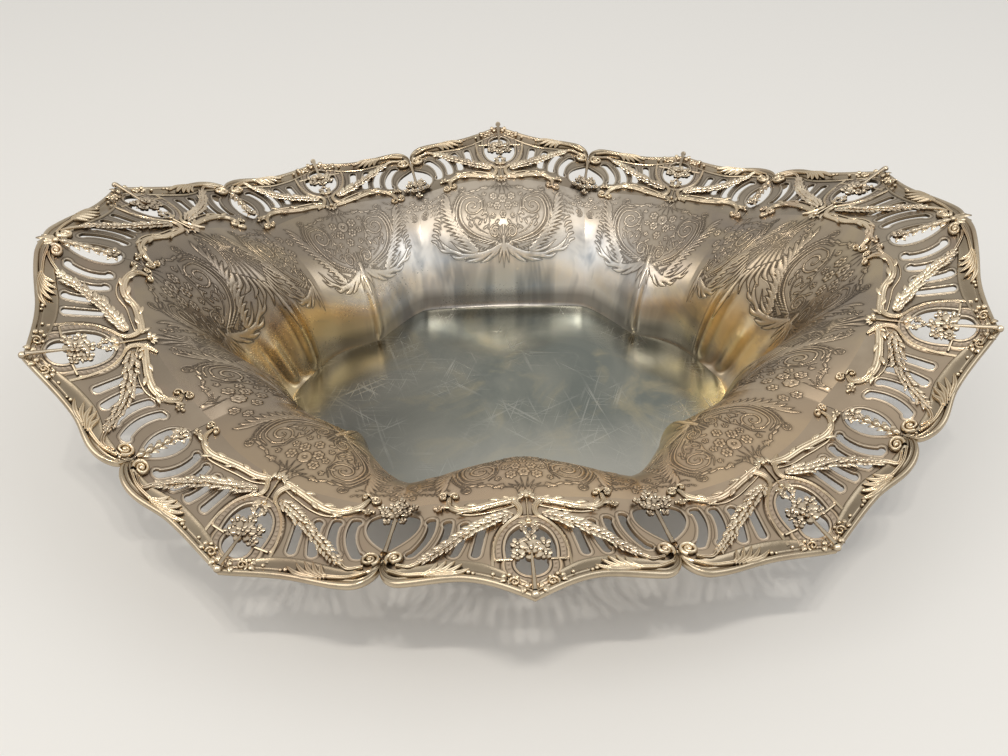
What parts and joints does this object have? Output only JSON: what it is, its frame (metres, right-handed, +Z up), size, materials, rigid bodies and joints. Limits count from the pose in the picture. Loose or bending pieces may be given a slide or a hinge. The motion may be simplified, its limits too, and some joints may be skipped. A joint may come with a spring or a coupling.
{
  "type": "pierced bowl",
  "caption": "Shallow lobed oval silver bowl with a pierced and chased border, applied scroll rim, garlands and flowers.",
  "frame": {"origin": "centre of the flat underside, on the surface the bowl rests on", "axes": "+X along the bowl's length, +Y across it, +Z up"},
  "size_m": [0.3404, 0.2784, 0.0864],
  "materials": {
    "wall_silver": "polished and chased silver with grey tarnish",
    "sheet_silver": "pierced and engraved silver, warm and slightly worn",
    "cast_silver": "cast and chased silver, bright crests and dark recesses",
    "flower_silver": "cast silver flowers, bright crests and dark recesses"
  },
  "bodies": {
    "root": {"bowl_body": "wall_silver", "border_panel_1": "sheet_silver", "scroll_rim_1": "cast_silver", "garland_1": "flower_silver", "medallion_flower_1": "flower_silver", "valley_spray_1": "flower_silver", "border_panel_2": "sheet_silver", "scroll_rim_2": "cast_silver", "garland_2": "flower_silver", "medallion_flower_2": "flower_silver", "valley_spray_2": "flower_silver", "border_panel_3": "sheet_silver", "scroll_rim_3": "cast_silver", "garland_3": "flower_silver", "medallion_flower_3": "flower_silver", "valley_spray_3": "flower_silver", "border_panel_4": "sheet_silver", "scroll_rim_4": "cast_silver", "garland_4": "flower_silver", "medallion_flower_4": "flower_silver", "valley_spray_4": "flower_silver", "border_panel_5": "sheet_silver", "scroll_rim_5": "cast_silver", "garland_5": "flower_silver", "medallion_flower_5": "flower_silver", "valley_spray_5": "flower_silver", "border_panel_6": "sheet_silver", "scroll_rim_6": "cast_silver", "garland_6": "flower_silver", "medallion_flower_6": "flower_silver", "valley_spray_6": "flower_silver", "border_panel_7": "sheet_silver", "scroll_rim_7": "cast_silver", "garland_7": "flower_silver", "medallion_flower_7": "flower_silver", "valley_spray_7": "flower_silver", "border_panel_8": "sheet_silver", "scroll_rim_8": "cast_silver", "garland_8": "flower_silver", "medallion_flower_8": "flower_silver", "valley_spray_8": "flower_silver", "border_panel_9": "sheet_silver", "scroll_rim_9": "cast_silver", "garland_9": "flower_silver", "medallion_flower_9": "flower_silver", "valley_spray_9": "flower_silver", "border_panel_10": "sheet_silver", "scroll_rim_10": "cast_silver", "garland_10": "flower_silver", "medallion_flower_10": "flower_silver", "valley_spray_10": "flower_silver", "end_leaf_1": "cast_silver", "end_leaf_2": "cast_silver"}
  },
  "joints": []
}
